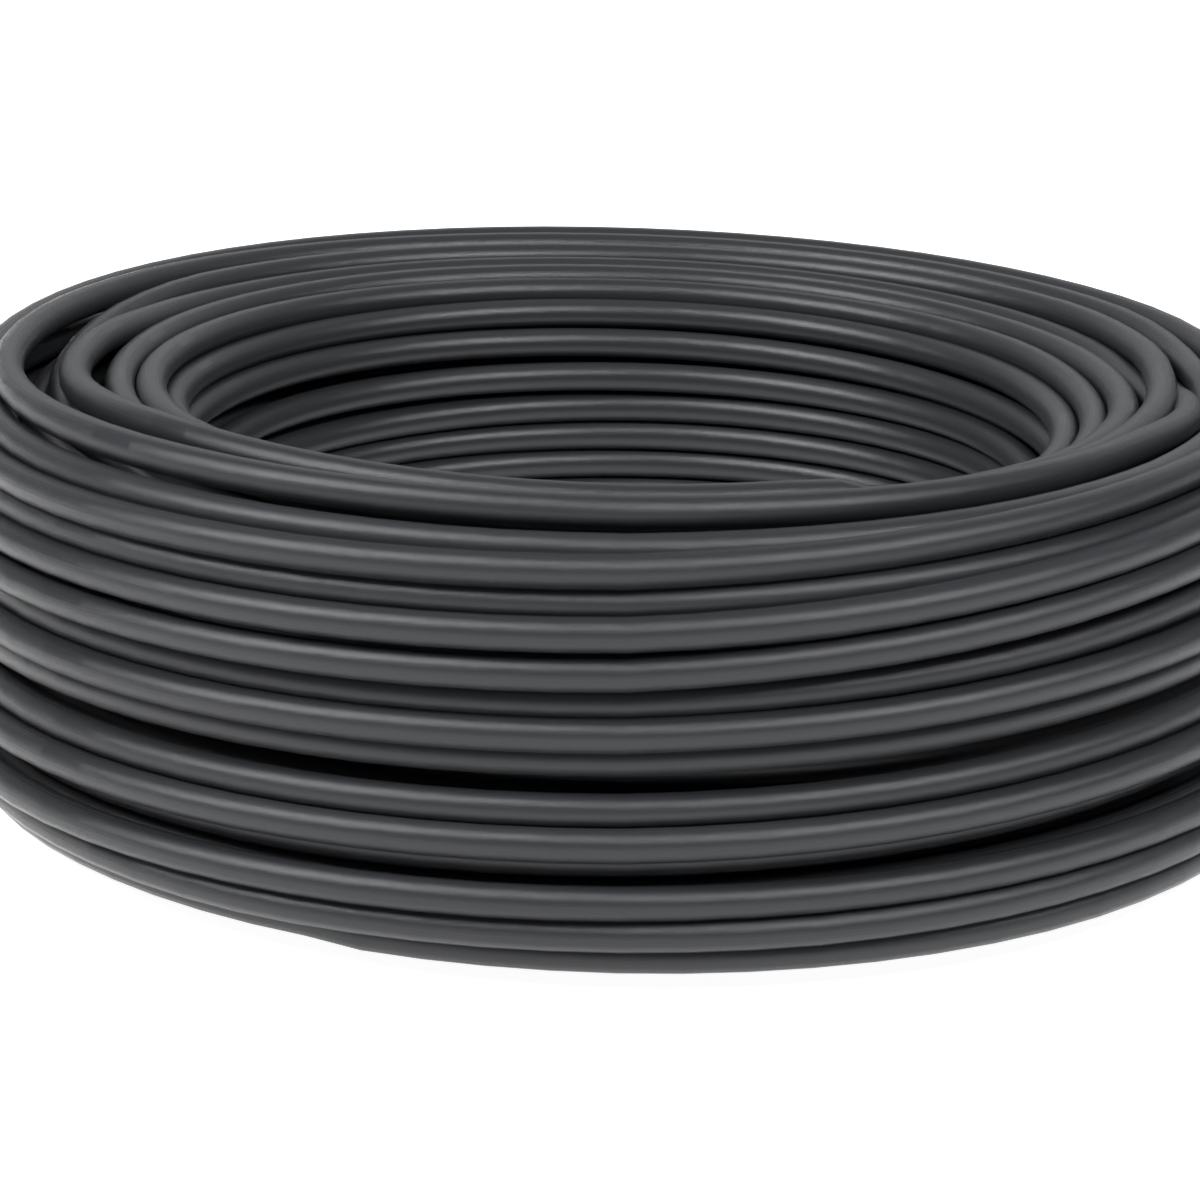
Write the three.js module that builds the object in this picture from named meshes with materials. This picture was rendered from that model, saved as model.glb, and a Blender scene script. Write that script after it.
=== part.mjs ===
// Network cable coil: one length of round four-pair cable wound into a loose ring, which lies
// flat with no core, reel or tie. It is modelled as one turned solid with its bore. The outermost
// turns are real ridges all round its section, so that they show on its top and bottom faces, on
// its outer wall and in the bore.
// Units are millimetres and +Z is up. The origin is on the coil's axis, at the surface it lies on.

import * as THREE from 'three';

// Driving dimensions
const cableDiameter = 4.8;
const coilDiameter = 213;
const boreDiameter = 124;
const coilHeight = 65;
const rimShoulderRadius = 14;
const boreShoulderRadius = 22;
const footShoulderRadius = 14;

// How finely the turned shape is faceted
const segmentsAround = 48;
const halfFacetAngle = Math.PI / 6;

// Colour and sheen of the jacket
const jacketColour = 0x4c4e51;
const jacketRoughness = 0.45;

const cableRadius = cableDiameter / 2;

// The line through the centres of the outermost turns, as a closed path of (radius, height). It
// starts under the middle of the winding and runs outwards, up, over the top and down the bore.
// The top falls away more gently towards the bore, where the loose turns have slid inwards.
function windingPath() {
  const bore = boreDiameter / 2 + cableRadius;
  const rim = coilDiameter / 2 - cableRadius;
  const foot = cableRadius;
  const top = coilHeight - cableRadius;
  const rimBend = rimShoulderRadius - cableRadius;
  const boreBend = boreShoulderRadius - cableRadius;
  const footBend = footShoulderRadius - cableRadius;
  const middle = (bore + rim) / 2;
  const quarter = Math.PI / 2;

  const path = new THREE.Path();
  path.moveTo(middle, foot);
  path.lineTo(rim - footBend, foot);
  path.absarc(rim - footBend, foot + footBend, footBend, -quarter, 0);
  path.lineTo(rim, top - rimBend);
  path.absarc(rim - rimBend, top - rimBend, rimBend, 0, quarter);
  path.lineTo(bore + boreBend, top);
  path.absarc(bore + boreBend, top - boreBend, boreBend, quarter, 2 * quarter);
  path.lineTo(bore, foot + footBend);
  path.absarc(bore + footBend, foot + footBend, footBend, 2 * quarter, 3 * quarter);
  path.lineTo(middle, foot);
  return path;
}

// The section's outline. Each turn shows one flat crest, tangent to its round jacket, and meets
// the next turn in a groove where the slanted flats of the two turns cross.
function sectionOutline(path) {
  const turns = Math.round(path.getLength() / cableDiameter);
  const pitch = path.getLength() / turns;
  const halfCrest = cableRadius * Math.tan(halfFacetAngle);
  const slant = 2 * halfFacetAngle;
  const grooveHeight = (cableRadius - (pitch / 2) * Math.sin(slant)) / Math.cos(slant);

  const outline = [];
  for (let turn = 0; turn < turns; turn += 1) {
    const centre = path.getPoint(turn / turns);
    const along = path.getTangent(turn / turns);
    const outwards = new THREE.Vector2(along.y, -along.x);
    const crest = centre.clone().addScaledVector(outwards, cableRadius);
    outline.push(crest.clone().addScaledVector(along, -halfCrest));
    outline.push(crest.clone().addScaledVector(along, halfCrest));

    const between = (turn + 0.5) / turns;
    const groove = path.getPoint(between);
    const grooveAlong = path.getTangent(between);
    groove.add(new THREE.Vector2(grooveAlong.y, -grooveAlong.x).multiplyScalar(grooveHeight));
    outline.push(groove);
  }
  outline.push(outline[0].clone());

  // The flat crest of a turn that is tilted on a bend would pass the coil's size by a hair.
  const lowest = new THREE.Vector2(boreDiameter / 2, 0);
  const highest = new THREE.Vector2(coilDiameter / 2, coilHeight);
  outline.forEach((point) => point.clamp(lowest, highest));
  return outline;
}

function cableCoil(material) {
  const turned = new THREE.LatheGeometry(sectionOutline(windingPath()), segmentsAround);
  turned.rotateX(Math.PI / 2);
  const coil = new THREE.Mesh(turned, material);
  coil.name = 'cable_coil';
  return coil;
}

const jacket = new THREE.MeshStandardMaterial({
  color: jacketColour,
  roughness: jacketRoughness,
  metalness: 0,
});

const part = new THREE.Group();
part.add(cableCoil(jacket));

export default part;
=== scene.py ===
# %% [markdown]
# A coil of network cable, wound by hand and laid flat. The coil is one length of round charcoal
# cable: about ninety-five turns that press on each other, cross a little, and leave dark gaps
# where a turn has slipped behind its neighbours. This notebook starts from the plain turned ring
# of the CAD model, winds the real cable inside the ring's outline, gives it a satin plastic
# jacket, and lights it like a catalogue photograph.

# %% Load the frame
import math

import bmesh
import bpy
import numpy as np
from mathutils import Matrix, Vector


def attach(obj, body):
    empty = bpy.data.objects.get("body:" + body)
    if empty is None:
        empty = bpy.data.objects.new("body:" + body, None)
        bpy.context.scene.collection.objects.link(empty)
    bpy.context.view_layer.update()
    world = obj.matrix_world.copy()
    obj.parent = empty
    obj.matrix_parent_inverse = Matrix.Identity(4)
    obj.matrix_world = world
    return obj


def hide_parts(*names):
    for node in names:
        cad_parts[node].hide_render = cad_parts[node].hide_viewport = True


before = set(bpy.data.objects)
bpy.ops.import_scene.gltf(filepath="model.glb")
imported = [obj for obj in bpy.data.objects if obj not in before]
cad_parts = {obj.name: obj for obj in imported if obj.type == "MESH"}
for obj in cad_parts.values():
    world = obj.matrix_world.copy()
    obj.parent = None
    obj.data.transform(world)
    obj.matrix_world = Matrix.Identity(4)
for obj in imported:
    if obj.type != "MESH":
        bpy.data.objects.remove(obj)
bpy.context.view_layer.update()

# %% [markdown]
# The camera comes first. The photograph looks down at a low angle from a few ring widths away,
# and crops both sides of the ring. A long lens gives that view. Its small shift stands for the
# crop, which is not centred on the ring, and its small roll for the lens not being quite level.

# %% Camera
IMAGE_SIDE = 1200
LENS_PIXELS = 4319
RING_CENTRE_X = 629
RING_CENTRE_Y = 577
CAMERA_ELEVATION = math.radians(16)
CAMERA_DISTANCE = 0.667
CAMERA_ROLL = 0.033
AIM_HEIGHT = 0.0288
SENSOR_WIDTH = 36


def add_camera():
    data = bpy.data.cameras.new("camera")
    data.sensor_width = SENSOR_WIDTH
    data.lens = LENS_PIXELS / IMAGE_SIDE * SENSOR_WIDTH
    data.shift_x = (IMAGE_SIDE / 2 - RING_CENTRE_X) / IMAGE_SIDE
    data.shift_y = (RING_CENTRE_Y - IMAGE_SIDE / 2) / IMAGE_SIDE
    camera = bpy.data.objects.new("camera", data)
    bpy.context.collection.objects.link(camera)
    aim = Vector((0, 0, AIM_HEIGHT))
    back = Vector((0, -math.cos(CAMERA_ELEVATION), math.sin(CAMERA_ELEVATION)))
    turn = back.to_track_quat("Z", "Y").to_matrix().to_4x4()
    place = Matrix.Translation(aim + CAMERA_DISTANCE * back)
    camera.matrix_world = place @ turn @ Matrix.Rotation(CAMERA_ROLL, 4, "Z")
    bpy.context.scene.camera = camera
    return camera


camera = add_camera()
print("camera at", tuple(round(c, 3) for c in camera.location), "lens", round(camera.data.lens, 1))

# %% [markdown]
# The ring's section is the outline that the turns fill. Its height and its two radii repeat those
# of the CAD model, because the wound cable takes the turned ring's place and stays close to its
# box. The bends at the foot and the bore are a little tighter, since real turns fill them. Sections
# are worked out in millimetres as (radius, height), where a cable is a circle.

# %% The ring's outline
CABLE_DIAMETER = 4.8
CABLE_RADIUS = CABLE_DIAMETER / 2
RIM_RADIUS = 106.5
BORE_RADIUS = 62.0
COIL_HEIGHT = 65.0
RIM_SHOULDER = 14.0
BORE_SHOULDER = 16.0
FOOT_SHOULDER = 12.5
DISH_SLOPE = math.radians(10)
ARC_POINTS = 24
TINY = 1e-9


def section_outline(inset):
    """Corners of the rounded section, anticlockwise from under the rim, drawn in by inset."""
    quarter = math.pi / 2
    rim_r = RIM_RADIUS - RIM_SHOULDER
    bore_r = BORE_RADIUS + BORE_SHOULDER
    rim_z = COIL_HEIGHT - RIM_SHOULDER
    fall = (bore_r - rim_r) * math.sin(DISH_SLOPE) + RIM_SHOULDER - BORE_SHOULDER
    bore_z = rim_z + fall / math.cos(DISH_SLOPE)
    bends = [
        (RIM_RADIUS - FOOT_SHOULDER, FOOT_SHOULDER, FOOT_SHOULDER, -quarter, 0),
        (rim_r, rim_z, RIM_SHOULDER, 0, quarter + DISH_SLOPE),
        (bore_r, bore_z, BORE_SHOULDER, quarter + DISH_SLOPE, 2 * quarter),
        (BORE_RADIUS + FOOT_SHOULDER, FOOT_SHOULDER, FOOT_SHOULDER, 2 * quarter, 3 * quarter),
    ]
    corners = []
    for centre_r, centre_z, bend, start, end in bends:
        angle = np.linspace(start, end, ARC_POINTS)
        reach = bend - inset
        corners.append(np.stack([centre_r + reach * np.cos(angle),
                                 centre_z + reach * np.sin(angle)], -1))
    return np.concatenate(corners)


outline = section_outline(CABLE_RADIUS)
edge = np.roll(outline, -1, 0) - outline
edge_length = np.hypot(edge[:, 0], edge[:, 1])
edge_normal = np.stack([edge[:, 1], -edge[:, 0]], -1) / edge_length[:, None]
edge_arc = np.concatenate([[0], np.cumsum(edge_length)[:-1]])
PERIMETER = edge_length.sum()
print("outline for the turns' centres:", round(PERIMETER, 1), "mm round")


def nearest_on_outline(points):
    """Depth inside the outline, the outward normal there, and the distance round the outline."""
    offset = points[..., None, :] - outline
    share = np.clip((offset * edge).sum(-1) / (edge_length ** 2), 0, 1)
    gap = offset - share[..., None] * edge
    distance = np.hypot(gap[..., 0], gap[..., 1])
    pick = distance.argmin(-1)
    chosen = np.take_along_axis(gap, pick[..., None, None], -2)[..., 0, :]
    normal = edge_normal[pick]
    depth = -(chosen * normal).sum(-1)
    along = np.take_along_axis(share, pick[..., None], -1)[..., 0] * edge_length[pick]
    return depth, normal, edge_arc[pick] + along


def on_outline(arc, depth):
    """The place that lies this far round the outline and this deep inside it."""
    arc = np.mod(arc, PERIMETER)
    pick = np.searchsorted(edge_arc, arc, side="right") - 1
    share = (arc - edge_arc[pick]) / edge_length[pick]
    return outline[pick] + share[..., None] * edge[pick] - depth[..., None] * edge_normal[pick]


# %% [markdown]
# A hand-wound coil starts against the bore and grows outwards in rough layers, one up, the next
# down. The first plan of the winding gives every turn its place in the section: columns of places
# from the bore to the rim, each column filled in the opposite direction to the last. Turn number n
# starts on place n at the back and has moved over to place n + 1 when it has gone once round. The
# turns of the rim move over behind, and those of the bore in front, which leaves level rows on the
# two walls that are seen.

# %% Plan the layers
ROW_PITCHES = [1.05, 1.1, 1.2, 1.25, 1.25, 1.2, 1.15, 1.0, 0.92]
STATIONS = 72
MOVE_SHARE = 0.15


def column_reach(radius):
    """Lowest and highest place on the outline at this radius."""
    crossings = []
    for start, step in zip(outline, edge):
        if abs(step[0]) > TINY and 0 <= (radius - start[0]) / step[0] <= 1:
            crossings.append(start[1] + step[1] * (radius - start[0]) / step[0])
    if len(crossings) > 1 and max(crossings) - min(crossings) > COIL_HEIGHT / 2:
        return min(crossings), max(crossings)
    return FOOT_SHOULDER - CABLE_RADIUS, COIL_HEIGHT - BORE_SHOULDER


def plan_places():
    places = []
    layers = len(ROW_PITCHES)
    radii = np.linspace(BORE_RADIUS + CABLE_RADIUS, RIM_RADIUS - CABLE_RADIUS, layers)
    for layer, (radius, pitch) in enumerate(zip(radii, ROW_PITCHES)):
        low, high = column_reach(radius)
        rows = int(round((high - low) / (pitch * CABLE_DIAMETER))) + 1
        heights = np.linspace(low, high, rows)
        if layer % 2:
            heights = heights[::-1]
        places += [(radius, height, layer) for height in heights]
    return np.array(places)


def ease(x):
    x = np.clip(x, 0, 1)
    return x * x * (3 - 2 * x)


def moved_over(layer, gone_round):
    """Share of the way to the next place after this share of a turn, which starts at the back."""
    if layer >= len(ROW_PITCHES) - 2:
        return 0.5 * ease(gone_round / MOVE_SHARE) + 0.5 * ease((gone_round - 1) / MOVE_SHARE + 1)
    if layer <= 1:
        return ease((gone_round - 0.5) / (2 * MOVE_SHARE) + 0.5)
    return gone_round


places = plan_places()
TURNS = len(places) - 1
gone_round = np.arange(STATIONS) / STATIONS
azimuth = 2 * math.pi * gone_round - math.pi
share = np.array([moved_over(layer, gone_round) for layer in places[:-1, 2]])[..., None]
winding = places[:-1, None, :2] * (1 - share) + places[1:, None, :2] * share
print("turns:", TURNS, "in", len(ROW_PITCHES), "layers")

# %% [markdown]
# The plan is too neat, and its turns overlap where layers cross. A short relaxation settles it, as
# the cable's own springiness does: every turn pushes outwards, no two turns may be closer than one
# diameter, none may leave the outline, and each turn runs on smoothly into itself. The outline
# wavers by a part of a diameter, so that some turns stand proud and others lie deeper. The hole
# sits a little to the left, the crest is proud in front, and the foot doesn't quite touch there.

# %% Settle the turns
SETTLING_STEPS = 200
SPRING_STEP = 0.25
WAVER = 0.12 * CABLE_DIAMETER
WAVES = 14
WAVES_ROUND_OUTLINE = (3, 22)
WAVES_ROUND_RING = (1, 3)
SEED = 3
SPINE_RADIUS = (BORE_RADIUS + RIM_RADIUS) / 2
SPINE_LOW = 22.0
SPINE_HIGH = 40.0
CONTACT_SHARE = 0.9
SMOOTHING_STRIDES = [1, 1, 4]
FLOOR_SLOPE = -0.8
BORE_OFFSET = 2.4
CREST_ARC = 77.7
CREST_WIDTH = 10.0
CREST_RISE = 3.2
FRONT_LIFT = 0.8
FRONT_SHARPNESS = 1.5
LEAST_DISTANCE = 1e-6

rng = np.random.default_rng(SEED)
waves = [(rng.integers(*WAVES_ROUND_OUTLINE),
          rng.integers(*WAVES_ROUND_RING) * rng.choice([-1, 0, 1]),
          rng.uniform(0, 2 * math.pi), rng.uniform(0.5, 1)) for _ in range(WAVES)]
wave_power = math.sqrt(sum(size ** 2 for *_, size in waves) / 2)
frontness = np.clip(FRONT_SHARPNESS * np.cos(azimuth), 0, 1)[None, :]


def outline_depth(arc, normal):
    """How deep the turns must lie: the outline wavers, and its crest is proud in front."""
    total = np.zeros(arc.shape)
    for round_outline, round_ring, phase, size in waves:
        total += size * np.cos(2 * math.pi * round_outline * arc / PERIMETER
                               + round_ring * azimuth[None, :] + phase)
    depth = WAVER * total / wave_power
    depth -= CREST_RISE * frontness * np.exp(-((arc - CREST_ARC) / CREST_WIDTH) ** 2)
    return np.where(normal[..., 1] < FLOOR_SLOPE, FRONT_LIFT * frontness, depth)


def spring_out(turns, strength):
    spine = np.clip(turns[..., 1], SPINE_LOW, SPINE_HIGH)
    away = turns - np.stack([np.full_like(spine, SPINE_RADIUS), spine], -1)
    return turns + strength * away / (np.linalg.norm(away, axis=-1, keepdims=True) + LEAST_DISTANCE)


def run_on_smoothly(turns):
    chain = turns.reshape(-1, 2).copy()
    for stride in SMOOTHING_STRIDES:
        middle = chain[stride:-stride]
        middle += 0.5 * (0.5 * (chain[:-2 * stride] + chain[2 * stride:]) - middle)
    return chain.reshape(turns.shape)


def keep_apart(turns):
    for _ in range(2):
        slices = turns.transpose(1, 0, 2)
        between = slices[:, :, None] - slices[:, None]
        distance = np.sqrt((between ** 2).sum(-1))
        overlap = np.maximum(0, CABLE_DIAMETER - distance)
        push = 0.5 * overlap / np.maximum(distance, LEAST_DISTANCE)
        slices = slices + CONTACT_SHARE * (push[..., None] * between).sum(2)
        turns = slices.transpose(1, 0, 2)
    return turns


def bore_shift(points, angle):
    """Sideways shift of these places, none at the rim and most at the bore."""
    inward = (RIM_RADIUS - points[..., 0]) / (RIM_RADIUS - BORE_RADIUS)
    return -BORE_OFFSET * np.clip(inward, 0, 1) * np.sin(angle)


def keep_inside(turns, hidings):
    """Draw in what has left the outline, and what must hide behind a range of rows."""
    round_ring = turns.copy()
    round_ring[..., 0] -= bore_shift(turns, azimuth)
    depth, normal, arc = nearest_on_outline(round_ring)
    least = outline_depth(arc, normal)
    for first_arc, last_arc, hidden_depth in hidings:
        behind = np.where((arc > first_arc) & (arc < last_arc), hidden_depth, 0)
        least = np.maximum(least, behind)
    return turns - np.maximum(0, least - depth)[..., None] * normal


# %% [markdown]
# The photograph shows which turns stand proud on the front wall and which hide behind them, and
# that they rise towards the right, some more than others. Each row of the front is named by how
# far round the outline it lies, how much it rises to the right, and how deep it sits. The rows of
# the bore's far wall are level and even. The nearest turn of the settled winding is drawn towards
# each row, and let go again towards the sides.

# %% Rows that are seen
FRONT_ROWS = [
    (81.7, 0.10, -0.62), (72.4, 0.18, -0.32), (66.8, 0.15, 0.3), (62.1, 0.14, 0.0),
    (57.6, 0.17, 0.5), (54.1, 0.16, 0.0), (48.2, 0.18, 0.05), (43.1, 0.15, 0.6),
    (40.1, 0.12, 0.05), (35.9, 0.10, 0.7), (28.5, 0.10, 0.5), (25.1, 0.11, 0.0),
    (16.3, 0.06, 0.0), (12.5, 0.055, 0.0), (7.8, 0.05, 0.0), (21.5, 0.10, 0.9),
    (16.1, 0.06, 0.9),
]
RISE_LEFT = 0.05
BACK_ROWS = [
    (68.2, 0.0, 0.0), (73.5, 0.0, 0.0), (79.1, 0.0, -0.1), (84.8, 0.0, 0.2), (89.4, 0.0, 0.1),
    (94.2, 0.0, -0.05), (98.8, 0.0, 0.0), (104.1, 0.0, 0.0), (109.8, 0.015, 0.0),
    (115.1, 0.03, 0.0), (120.0, 0.03, 0.0), (124.5, 0.03, 0.0), (129.3, 0.03, 0.0),
    (134.3, 0.03, 0.0),
]
FULL_GUIDE = 50.0
NO_GUIDE = 85.0
GUIDE_STRENGTH = 0.5
HIDDEN_DEPTH = 1.7 * CABLE_DIAMETER
FRONT = STATIONS // 2
BACK = 0

reach = np.arange(-STATIONS // 4, STATIONS // 4 + 1)
reach_degrees = reach * 360 / STATIONS
reach_weight = ease((NO_GUIDE - np.abs(reach_degrees)) / (NO_GUIDE - FULL_GUIDE))


def row_places(row, middle):
    """Places of one row at the stations about its middle one."""
    arc, rise_right, depth = row
    rise = np.where(reach_degrees > 0, rise_right, min(rise_right, RISE_LEFT)) * reach_degrees
    places = on_outline(arc + rise, np.full(len(reach), depth * CABLE_DIAMETER))
    places[:, 0] += bore_shift(places, 2 * math.pi * (middle + reach) / STATIONS - math.pi)
    return places


def draw_towards_rows(turns, chosen):
    """Draw the stretches of cable that were chosen for the rows towards them."""
    chain = turns.reshape(-1, 2)
    for middle, row in chosen:
        stations = np.clip(middle + reach, 0, len(chain) - 1)
        pull = GUIDE_STRENGTH * reach_weight[:, None]
        chain[stations] += pull * (row_places(row, middle) - chain[stations])
    return turns


def nearest_stretches(turns, rows, station):
    """Give each row the nearest stretch of cable at this station that no other row has."""
    free = list(range(TURNS))
    chosen = []
    for row in rows:
        place = row_places(row, station)[len(reach) // 2]
        away = [np.linalg.norm(turns[turn, station] - place) for turn in free]
        turn = free.pop(int(np.argmin(away)))
        chosen.append((turn * STATIONS + station, row))
    return chosen


def hide_the_rest(chosen):
    """The range of the rows, and the depth that keeps all other cable behind them."""
    depth = np.full((TURNS, STATIONS), -CABLE_DIAMETER)
    along = depth.reshape(-1)
    taken = [middle for middle, _ in chosen]
    for middle in range(taken[0] % STATIONS, TURNS * STATIONS, STATIONS):
        if middle not in taken:
            stations = np.clip(middle + reach, 0, len(along) - 1)
            along[stations] = HIDDEN_DEPTH * (2 * reach_weight - 1)
    arcs = [row[0] for _, row in chosen]
    return min(arcs) - CABLE_RADIUS, max(arcs) + CABLE_RADIUS, depth


for step in range(SETTLING_STEPS):
    winding = spring_out(winding, SPRING_STEP * (1 - step / SETTLING_STEPS))
    winding = run_on_smoothly(winding)
    winding = keep_apart(winding)
    winding = keep_inside(winding, [])

front_rows = nearest_stretches(winding, FRONT_ROWS, FRONT)
back_rows = nearest_stretches(winding, BACK_ROWS, BACK)
print("turns of the front rows:", [middle // STATIONS for middle, _ in front_rows])
print("turns of the back rows:", [middle // STATIONS for middle, _ in back_rows])
hidings = [hide_the_rest(front_rows), hide_the_rest(back_rows)]
for step in range(SETTLING_STEPS):
    winding = run_on_smoothly(winding)
    winding = draw_towards_rows(winding, front_rows + back_rows)
    winding = keep_apart(winding)
    winding = keep_inside(winding, hidings)

# %% How closely the turns lie
TENTH_PRESSED = 0.9
slices = winding.transpose(1, 0, 2)
not_itself = COIL_HEIGHT * np.eye(TURNS)
gaps = np.linalg.norm(slices[:, :, None] - slices[:, None], axis=-1) + not_itself
print("closest turns:", round(float(gaps.min()), 2), "mm; pairs pressed in by a tenth:",
      int((gaps < TENTH_PRESSED * CABLE_DIAMETER).sum()) // 2, "in", STATIONS, "slices")

# %% [markdown]
# The slices become one long line in space. It starts at the back at the foot of the bore and ends
# at the back of the rim, where neither end is seen in the photograph. The cable is a circle swept
# along that line, as the jacket of the real cable is pressed through a round die.

# %% The cable's centreline
MILLIMETRE = 0.001
chain = winding.reshape(-1, 2)
chain_angle = 2 * math.pi * np.arange(len(chain)) / STATIONS - math.pi
route = np.stack([chain[:, 0] * np.sin(chain_angle), -chain[:, 0] * np.cos(chain_angle),
                  chain[:, 1]], -1) * MILLIMETRE
metres_along = np.concatenate([[0], np.cumsum(np.linalg.norm(np.diff(route, axis=0), axis=1))])
print("cable length:", round(float(metres_along[-1]), 2), "m")

# %% Sweep the cable
SIDES = 14


def sweep_cable(points):
    curve = bpy.data.curves.new("cable", "CURVE")
    curve.dimensions = "3D"
    curve.bevel_depth = CABLE_RADIUS * MILLIMETRE
    curve.bevel_resolution = SIDES // 2 - 2
    curve.use_fill_caps = True
    line = curve.splines.new("POLY")
    line.points.add(len(points) - 1)
    line.points.foreach_set("co", np.c_[points, np.ones(len(points))].ravel())
    swept = bpy.data.objects.new("cable_sweep", curve)
    bpy.context.collection.objects.link(swept)
    graph = bpy.context.evaluated_depsgraph_get()
    mesh = bpy.data.meshes.new_from_object(swept.evaluated_get(graph), depsgraph=graph)
    bpy.data.objects.remove(swept)
    cable = bpy.data.objects.new("cable", mesh)
    bpy.context.collection.objects.link(cable)
    return cable


def measure_along(mesh):
    """Turn the sweep's own map into one of (share round the jacket, metres along the cable)."""
    layer = mesh.uv_layers[0]
    layer.name = "jacket_map"
    places = np.empty(2 * len(mesh.loops))
    layer.uv.foreach_get("vector", places)
    station = places[1::2] * (len(metres_along) - 1)
    places[1::2] = np.interp(station, np.arange(len(metres_along)), metres_along)
    layer.uv.foreach_set("vector", places)


cable = sweep_cable(route)
measure_along(cable.data)
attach(cable, "root")
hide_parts("cable_coil")
print("cable:", len(cable.data.polygons), "faces")

# %% [markdown]
# The jacket is a satin charcoal plastic. Its marks run with the cable, so they are worked out on
# the cable as if it were pulled straight: a point of the jacket is turned into millimetres across
# and along a straight cable. The small groups below put out only numbers and vectors. They can be
# used for any round cable that has such a map.

# %% Node helpers
def new_group(name, inputs, outputs):
    """An empty shader node group with these sockets, and its two end nodes."""
    group = bpy.data.node_groups.new(name, "ShaderNodeTree")
    for socket_name, socket_type in inputs:
        group.interface.new_socket(socket_name, in_out="INPUT", socket_type=socket_type)
    for socket_name, socket_type in outputs:
        group.interface.new_socket(socket_name, in_out="OUTPUT", socket_type=socket_type)
    return group, group.nodes.new("NodeGroupInput"), group.nodes.new("NodeGroupOutput")


def feed(tree, value, socket):
    """Link a socket's output, or set a plain number."""
    if isinstance(value, bpy.types.NodeSocket):
        tree.links.new(value, socket)
    else:
        socket.default_value = value


def calculate(tree, operation, *values):
    node = tree.nodes.new("ShaderNodeMath")
    node.operation = operation
    for value, socket in zip(values, node.inputs):
        feed(tree, value, socket)
    return node.outputs["Value"]


def noise(tree, vector, scale, detail=2.0):
    node = tree.nodes.new("ShaderNodeTexNoise")
    feed(tree, vector, node.inputs["Vector"])
    node.inputs["Scale"].default_value = scale
    node.inputs["Detail"].default_value = detail
    return node.outputs["Fac"]


def stretch(tree, vector, factors):
    node = tree.nodes.new("ShaderNodeVectorMath")
    node.operation = "MULTIPLY"
    tree.links.new(vector, node.inputs[0])
    node.inputs[1].default_value = factors
    return node.outputs["Vector"]


def place_group(tree, group, **values):
    node = tree.nodes.new("ShaderNodeGroup")
    node.node_tree = group
    for name, value in values.items():
        feed(tree, value, node.inputs[name.replace("_", " ")])
    return node


print("node helpers ready")

# %% [markdown]
# The straight cable: the share round the jacket becomes a point on a circle, so that a mark runs
# on over the map's seam, and the length along it becomes millimetres.

# %% Straight cable group
def straight_cable_group():
    group, given, result = new_group(
        "straight_cable", [("Jacket Map", "NodeSocketVector"), ("Radius", "NodeSocketFloat")],
        [("Position", "NodeSocketVector")])
    split = group.nodes.new("ShaderNodeSeparateXYZ")
    group.links.new(given.outputs["Jacket Map"], split.inputs["Vector"])
    turn = calculate(group, "MULTIPLY", split.outputs["X"], 2 * math.pi)
    across = calculate(group, "MULTIPLY", calculate(group, "COSINE", turn),
                       given.outputs["Radius"])
    over = calculate(group, "MULTIPLY", calculate(group, "SINE", turn), given.outputs["Radius"])
    along = calculate(group, "MULTIPLY", split.outputs["Y"], 1 / MILLIMETRE)
    join = group.nodes.new("ShaderNodeCombineXYZ")
    for socket, value in zip(join.inputs, (across, over, along)):
        group.links.new(value, socket)
    group.links.new(join.outputs["Vector"], result.inputs["Position"])
    return group


straight_cable = straight_cable_group()
print("group:", straight_cable.name)

# %% [markdown]
# Under the thin jacket lie four twisted pairs. They show as soft swellings a few millimetres long
# that break each highlight into beads. The die leaves fine lines that run lengthwise. Both are
# heights in millimetres, for a bump.

# %% Jacket relief group
SWELLING_LENGTH = 2.6
SWELLING_STRETCH = 0.35
SWELLING_HEIGHT = 0.016
DIE_LINE_WIDTH = 0.5
DIE_LINE_STRETCH = 0.02
DIE_LINE_HEIGHT = 0.001


def jacket_relief_group():
    group, given, result = new_group(
        "jacket_relief", [("Position", "NodeSocketVector"), ("Strength", "NodeSocketFloat")],
        [("Height", "NodeSocketFloat")])
    position = given.outputs["Position"]
    swelling = noise(group, stretch(group, position, (SWELLING_STRETCH, SWELLING_STRETCH, 1)),
                     1 / SWELLING_LENGTH, detail=1.0)
    die_lines = noise(group, stretch(group, position, (1, 1, DIE_LINE_STRETCH)),
                      1 / DIE_LINE_WIDTH)
    height = calculate(group, "ADD", calculate(group, "MULTIPLY", swelling, SWELLING_HEIGHT),
                       calculate(group, "MULTIPLY", die_lines, DIE_LINE_HEIGHT))
    height = calculate(group, "MULTIPLY", height, given.outputs["Strength"])
    group.links.new(height, result.inputs["Height"])
    return group


jacket_relief = jacket_relief_group()
print("group:", jacket_relief.name)

# %% [markdown]
# Handling leaves the plastic a little duller in some places than in others, and a trace of pale
# dust on it. The patches are long, because a hand slides along a cable.

# %% Handling wear group
PATCH_LENGTH = 60.0
PATCH_STRETCH = 4.0
DUST_SPECK = 0.7
DUST_THRESHOLD = 0.74


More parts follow.
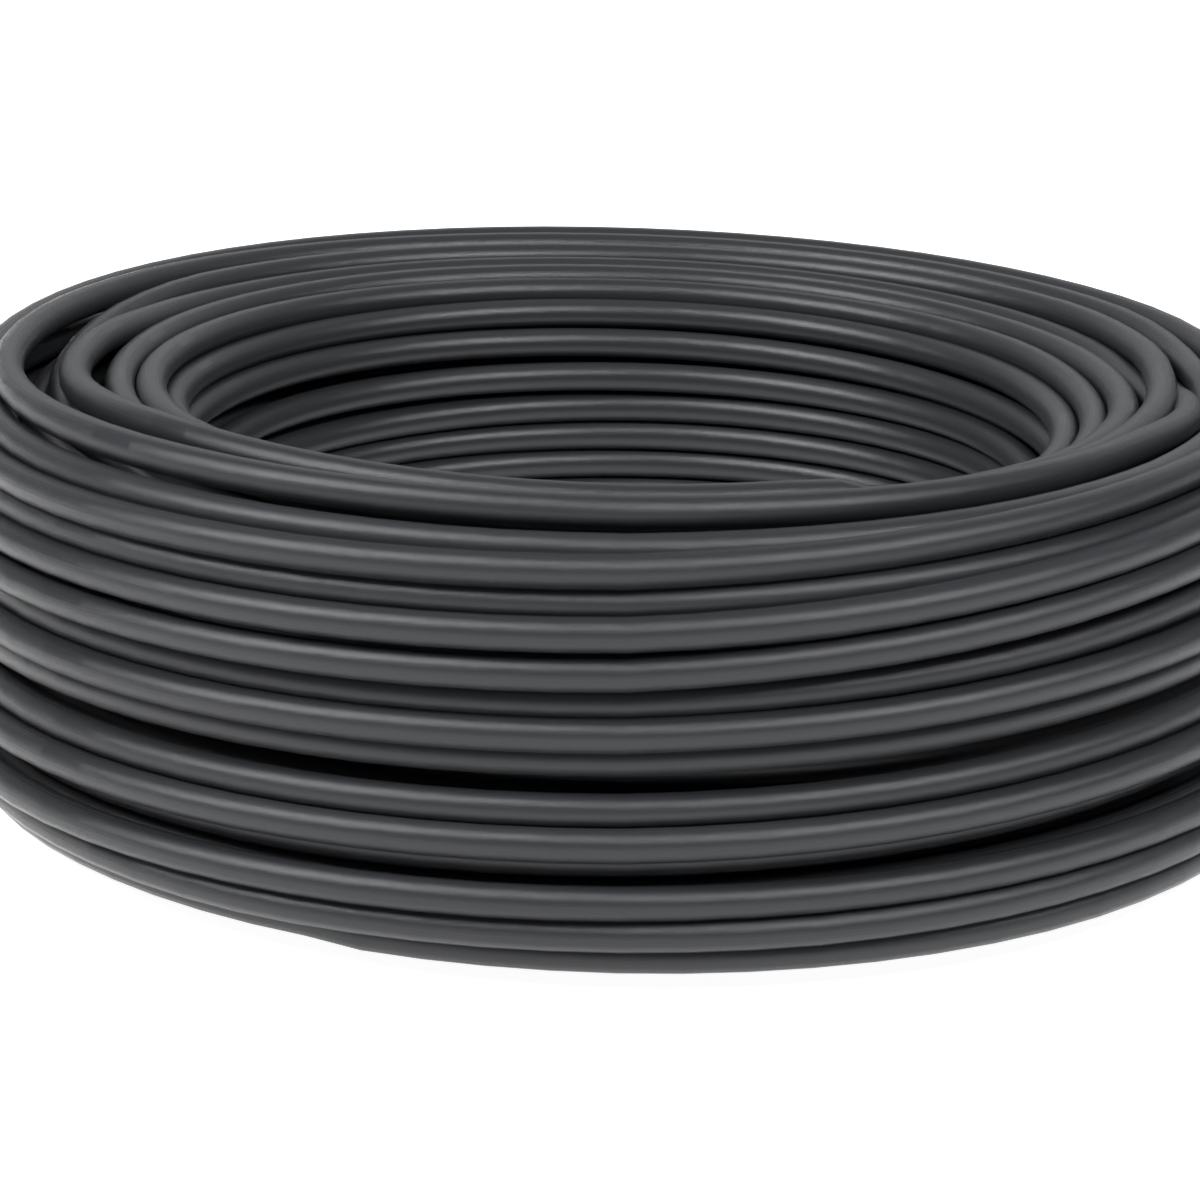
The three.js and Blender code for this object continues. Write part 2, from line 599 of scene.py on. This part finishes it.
def handling_wear_group():
    group, given, result = new_group(
        "handling_wear", [("Position", "NodeSocketVector"), ("Amount", "NodeSocketFloat")],
        [("Dullness", "NodeSocketFloat"), ("Dust", "NodeSocketFloat")])
    position = given.outputs["Position"]
    patches = noise(group, stretch(group, position, (PATCH_STRETCH, PATCH_STRETCH, 1)),
                    1 / PATCH_LENGTH, detail=4.0)
    dullness = calculate(group, "MULTIPLY", calculate(group, "SUBTRACT", patches, 0.5),
                         given.outputs["Amount"])
    specks = calculate(group, "GREATER_THAN", noise(group, position, 1 / DUST_SPECK, detail=1.0),
                       DUST_THRESHOLD)
    dust = calculate(group, "MULTIPLY", calculate(group, "MULTIPLY", specks, patches),
                     given.outputs["Amount"])
    group.links.new(dullness, result.inputs["Dullness"])
    group.links.new(dust, result.inputs["Dust"])
    return group


handling_wear = handling_wear_group()
print("group:", handling_wear.name)

# %% [markdown]
# The material itself only wires these together: dullness raises the roughness, dust lightens the
# charcoal, and the relief goes to a bump node.

# %% Jacket material
JACKET_COLOUR = (0.0185, 0.0195, 0.0215, 1)
DUST_COLOUR = (0.2, 0.2, 0.2, 1)
JACKET_ROUGHNESS = 0.24
JACKET_SPECULAR = 0.3
DULLNESS_AMOUNT = 0.3
RELIEF_STRENGTH = 1.0


def jacket_material():
    material = bpy.data.materials.new("charcoal_jacket")
    material.use_nodes = True
    tree = material.node_tree
    shader = tree.nodes["Principled BSDF"]
    jacket_map = tree.nodes.new("ShaderNodeUVMap")
    jacket_map.uv_map = "jacket_map"
    straight = place_group(tree, straight_cable, Jacket_Map=jacket_map.outputs["UV"],
                           Radius=CABLE_RADIUS)
    position = straight.outputs["Position"]
    wear = place_group(tree, handling_wear, Position=position, Amount=DULLNESS_AMOUNT)
    relief = place_group(tree, jacket_relief, Position=position, Strength=RELIEF_STRENGTH)

    roughness = calculate(tree, "ADD", wear.outputs["Dullness"], JACKET_ROUGHNESS)
    tree.links.new(roughness, shader.inputs["Roughness"])
    shader.inputs["Specular IOR Level"].default_value = JACKET_SPECULAR
    colour = tree.nodes.new("ShaderNodeMix")
    colour.data_type = "RGBA"
    colour.inputs["A"].default_value = JACKET_COLOUR
    colour.inputs["B"].default_value = DUST_COLOUR
    tree.links.new(wear.outputs["Dust"], colour.inputs["Factor"])
    tree.links.new(colour.outputs["Result"], shader.inputs["Base Color"])
    bump = tree.nodes.new("ShaderNodeBump")
    bump.inputs["Distance"].default_value = MILLIMETRE
    tree.links.new(relief.outputs["Height"], bump.inputs["Height"])
    tree.links.new(bump.outputs["Normal"], shader.inputs["Normal"])
    return material


cable.data.materials.clear()
cable.data.materials.append(jacket_material())
print("jacket:", cable.data.materials[0].name)

# %% [markdown]
# The coil lies on a plain pale floor that fills the picture and burns out to white. It is a light
# table: it glows a little, so that the coil throws almost no shadow on it.

# %% Floor
FLOOR_HALF = 3.0
FLOOR_WHITE = 0.5
FLOOR_GLOW = 0.95
FLOOR_ROUGHNESS = 0.9


def add_floor():
    build = bmesh.new()
    bmesh.ops.create_grid(build, x_segments=1, y_segments=1, size=FLOOR_HALF)
    mesh = bpy.data.meshes.new("floor")
    build.to_mesh(mesh)
    build.free()
    floor = bpy.data.objects.new("floor", mesh)
    bpy.context.collection.objects.link(floor)
    material = bpy.data.materials.new("pale_floor")
    material.use_nodes = True
    shader = material.node_tree.nodes["Principled BSDF"]
    shader.inputs["Base Color"].default_value = (FLOOR_WHITE, FLOOR_WHITE, FLOOR_WHITE, 1)
    shader.inputs["Roughness"].default_value = FLOOR_ROUGHNESS
    shader.inputs["Emission Color"].default_value = (1, 1, 1, 1)
    shader.inputs["Emission Strength"].default_value = FLOOR_GLOW
    mesh.materials.append(material)


add_floor()
print("floor:", 2 * FLOOR_HALF, "m square")

# %% [markdown]
# Two small softboxes stand high to the left and right of the camera. Each gives one band of
# highlights on the front wall, on the upper half of every turn, and one on the far wall of the
# bore. A wide soft light above whitens the floor, and the turns don't mirror it. A low lit backdrop
# behind the coil gives the turns on its top face their pale sheen. The studio around is dim, so
# that the gaps between turns stay black.

# %% Lights
SOFTBOX_DISTANCE = 1.4
FAR_DISTANCE = 1.6
STUDIO_GLOW = 0.15


def add_softbox(name, side, elevation, distance, width, height, power, mirrored=True):
    """A flat light that faces the coil. Side 0 is the camera's side, and plus is to its right."""
    data = bpy.data.lights.new(name, "AREA")
    data.shape = "RECTANGLE"
    data.size = width
    data.size_y = height
    data.energy = power
    light = bpy.data.objects.new(name, data)
    light.visible_glossy = mirrored
    bpy.context.collection.objects.link(light)
    side = math.radians(side)
    elevation = math.radians(elevation)
    out = Vector((math.sin(side) * math.cos(elevation), -math.cos(side) * math.cos(elevation),
                  math.sin(elevation)))
    light.matrix_world = (Matrix.Translation(Vector((0, 0, AIM_HEIGHT)) + distance * out)
                          @ out.to_track_quat("Z", "Y").to_matrix().to_4x4())


add_softbox("left_softbox", side=-64, elevation=45, distance=SOFTBOX_DISTANCE,
            width=0.45, height=0.45, power=25)
add_softbox("right_softbox", side=43, elevation=45, distance=SOFTBOX_DISTANCE,
            width=0.3, height=0.45, power=20)
add_softbox("top_light", side=180, elevation=75, distance=FAR_DISTANCE,
            width=3.0, height=3.0, power=26, mirrored=False)
add_softbox("backdrop", side=180, elevation=22, distance=FAR_DISTANCE,
            width=3.0, height=0.8, power=4)
world = bpy.data.worlds.new("studio")
world.use_nodes = True
world.node_tree.nodes["Background"].inputs["Color"].default_value = (1, 1, 1, 1)
world.node_tree.nodes["Background"].inputs["Strength"].default_value = STUDIO_GLOW
bpy.context.scene.world = world
bpy.context.scene.view_settings.view_transform = "Standard"
